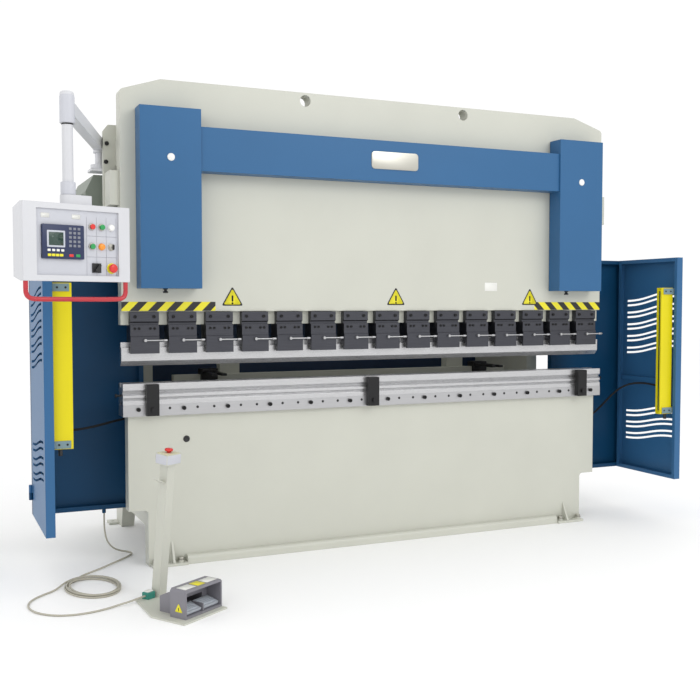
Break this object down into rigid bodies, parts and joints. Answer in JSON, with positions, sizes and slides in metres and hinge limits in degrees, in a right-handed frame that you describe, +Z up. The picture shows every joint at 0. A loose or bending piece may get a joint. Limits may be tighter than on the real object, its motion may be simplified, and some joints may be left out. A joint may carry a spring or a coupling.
{
  "type": "press brake",
  "caption": "Hydraulic press brake: full-height ram with punch clamps over a four-way die, side guard doors with light curtains, swinging control pendant and corded foot pedals.",
  "frame": {"origin": "on the floor under the middle of the bend line", "axes": "X runs left to right along the bend line as the operator sees it, Y from the operator to the rear, Z up"},
  "size_m": [4.1477, 2.212, 2.597],
  "materials": {
    "cream": "textured paint",
    "blue": "textured paint",
    "dark_blue": "textured paint",
    "motor_grey": "satin paint",
    "pipe_steel": "drawn tube",
    "dark_steel": "satin paint",
    "machined_steel": "ground",
    "black_oxide": "blackened",
    "grey_green": "textured paint",
    "pendant_grey": "smooth paint",
    "cord_beige": "smooth sheath",
    "housing_grey": "cast and painted",
    "connector_green": "moulded",
    "cord_black": "smooth sheath",
    "chrome_rod": "polished",
    "clamp_dark": "blackened and ground",
    "curtain_yellow": "gloss paint",
    "panel_grey": "smooth paint",
    "handle_red": "gloss paint",
    "button_red": "moulded",
    "button_green": "moulded",
    "knob_black": "moulded",
    "pedal_grey": "ribbed rubber face"
  },
  "bodies": {
    "frame": {"side_frame_left": "cream", "side_frame_right": "cream", "bed_plate": "cream", "front_feet": "cream", "cross_plate": "cream", "rear_crossmember": "cream", "rear_guard": "dark_blue", "oil_tank": "cream", "pump_motor": "motor_grey", "hydraulic_lines": "pipe_steel", "cylinder_left": "dark_steel", "cylinder_right": "dark_steel", "cylinder_cover_left": "blue", "cylinder_cover_right": "blue", "pipe_cover": "blue", "ram_guides": "machined_steel", "die_rail": "machined_steel", "vee_die": "machined_steel", "die_rail_screws": "black_oxide", "die_clamps": "black_oxide", "guard_panel_left": "blue", "guard_panel_right": "blue", "electrical_cabinet": "grey_green", "backgauge_rails": "machined_steel", "arm_bracket": "pendant_grey", "pedal_base": "cream", "pedal_post": "cream", "pedal_housing": "housing_grey", "plug_connector": "connector_green", "foot_cord_drop": "cord_beige", "foot_cord_coil": "cord_beige", "foot_cord_loop": "cord_beige", "curtain_cable_left": "cord_black", "curtain_cable_right": "cord_black"},
    "ram": {"ram_beam": "cream", "piston_rods": "chrome_rod", "clamp_bodies": "clamp_dark", "clamp_levers": "machined_steel", "punch": "machined_steel"},
    "left_door": {"door_left": "blue", "light_curtain_left": "curtain_yellow"},
    "right_door": {"door_right": "blue", "light_curtain_right": "curtain_yellow"},
    "backgauge": {"backgauge_beam": "cream"},
    "left_stop": {"finger_left": "black_oxide"},
    "right_stop": {"finger_right": "black_oxide"},
    "swing_arm": {"pendant_arm": "pendant_grey"},
    "pendant": {"drop_tube": "pendant_grey", "pendant_case": "pendant_grey", "control_panel": "panel_grey", "pendant_handle": "handle_red"},
    "red_button_part": {"red_button": "button_red"},
    "green_button_part": {"green_button": "button_green"},
    "lower_green_button_part": {"lower_green_button": "button_green"},
    "key_switch_part": {"key_switch": "knob_black"},
    "main_switch_part": {"main_switch": "knob_black"},
    "estop_button_part": {"estop_button": "button_red"},
    "stand_estop_part": {"stand_estop": "button_red"},
    "pedal_left_part": {"pedal_left": "pedal_grey"},
    "pedal_right_part": {"pedal_right": "pedal_grey"}
  },
  "joints": [
    {"name": "ram_slide", "type": "slide", "parent": "frame", "child": "ram", "axis": [0, 0, 1], "range_m": [-0.1, 0.12]},
    {"name": "backgauge_slide", "type": "slide", "parent": "frame", "child": "backgauge", "axis": [0, 1, 0], "range_m": [-0.19, 0.29]},
    {"name": "left_stop_slide", "type": "slide", "parent": "backgauge", "child": "left_stop", "axis": [1, 0, 0], "range_m": [-0.15, 0.15]},
    {"name": "right_stop_slide", "type": "slide", "parent": "backgauge", "child": "right_stop", "axis": [1, 0, 0], "range_m": [-0.15, 0.15]},
    {"name": "left_door_hinge", "type": "hinge", "parent": "frame", "child": "left_door", "pos_m": [-1.99, 0.234, 0.4], "axis": [0, 0, -1], "range_deg": [0, 95]},
    {"name": "right_door_hinge", "type": "hinge", "parent": "frame", "child": "right_door", "pos_m": [1.99, 0.234, 0.4], "axis": [0, 0, 1], "range_deg": [0, 95]},
    {"name": "arm_swing", "type": "hinge", "parent": "frame", "child": "swing_arm", "pos_m": [-1.612, 0.225, 2.2], "axis": [0, 0, 1], "range_deg": [-35, 0]},
    {"name": "pendant_swivel", "type": "hinge", "parent": "swing_arm", "child": "pendant", "pos_m": [-1.91204, -0.74506, 2], "axis": [0, 0, 1], "range_deg": [-45, 45]},
    {"name": "red_button_press", "type": "slide", "parent": "pendant", "child": "red_button_part", "axis": [-0.3387, 0.9409, 0], "range_m": [0, 0.004], "stiffness_N_per_m": 400, "springref_m": -0.001},
    {"name": "green_button_press", "type": "slide", "parent": "pendant", "child": "green_button_part", "axis": [-0.3387, 0.9409, 0], "range_m": [0, 0.004], "stiffness_N_per_m": 400, "springref_m": -0.001},
    {"name": "lower_green_button_press", "type": "slide", "parent": "pendant", "child": "lower_green_button_part", "axis": [-0.3387, 0.9409, 0], "range_m": [0, 0.004], "stiffness_N_per_m": 400, "springref_m": -0.001},
    {"name": "key_turn", "type": "hinge", "parent": "pendant", "child": "key_switch_part", "pos_m": [-1.7268, -0.74001, 1.666], "axis": [0.3387, -0.9409, 0], "range_deg": [-90, 0]},
    {"name": "main_switch_turn", "type": "hinge", "parent": "pendant", "child": "main_switch_part", "pos_m": [-1.79737, -0.76542, 1.571], "axis": [0.3387, -0.9409, 0], "range_deg": [-90, 0]},
    {"name": "estop_press", "type": "slide", "parent": "pendant", "child": "estop_button_part", "axis": [-0.3387, 0.9409, 0], "range_m": [0, 0.006]},
    {"name": "stand_estop_press", "type": "slide", "parent": "frame", "child": "stand_estop_part", "axis": [-0.0569, 0.0877, -0.9945], "range_m": [0, 0.005]},
    {"name": "pedal_left_press", "type": "hinge", "parent": "frame", "child": "pedal_left_part", "pos_m": [-1.42642, -0.96066, 0.028], "axis": [0.8387, 0.5446, 0], "range_deg": [-11, 0], "stiffness_Nm_per_rad": 6, "springref_deg": 20.05},
    {"name": "pedal_right_press", "type": "hinge", "parent": "frame", "child": "pedal_right_part", "pos_m": [-1.32746, -0.89639, 0.028], "axis": [0.8387, 0.5446, 0], "range_deg": [-11, 0], "stiffness_Nm_per_rad": 6, "springref_deg": 20.05}
  ]
}
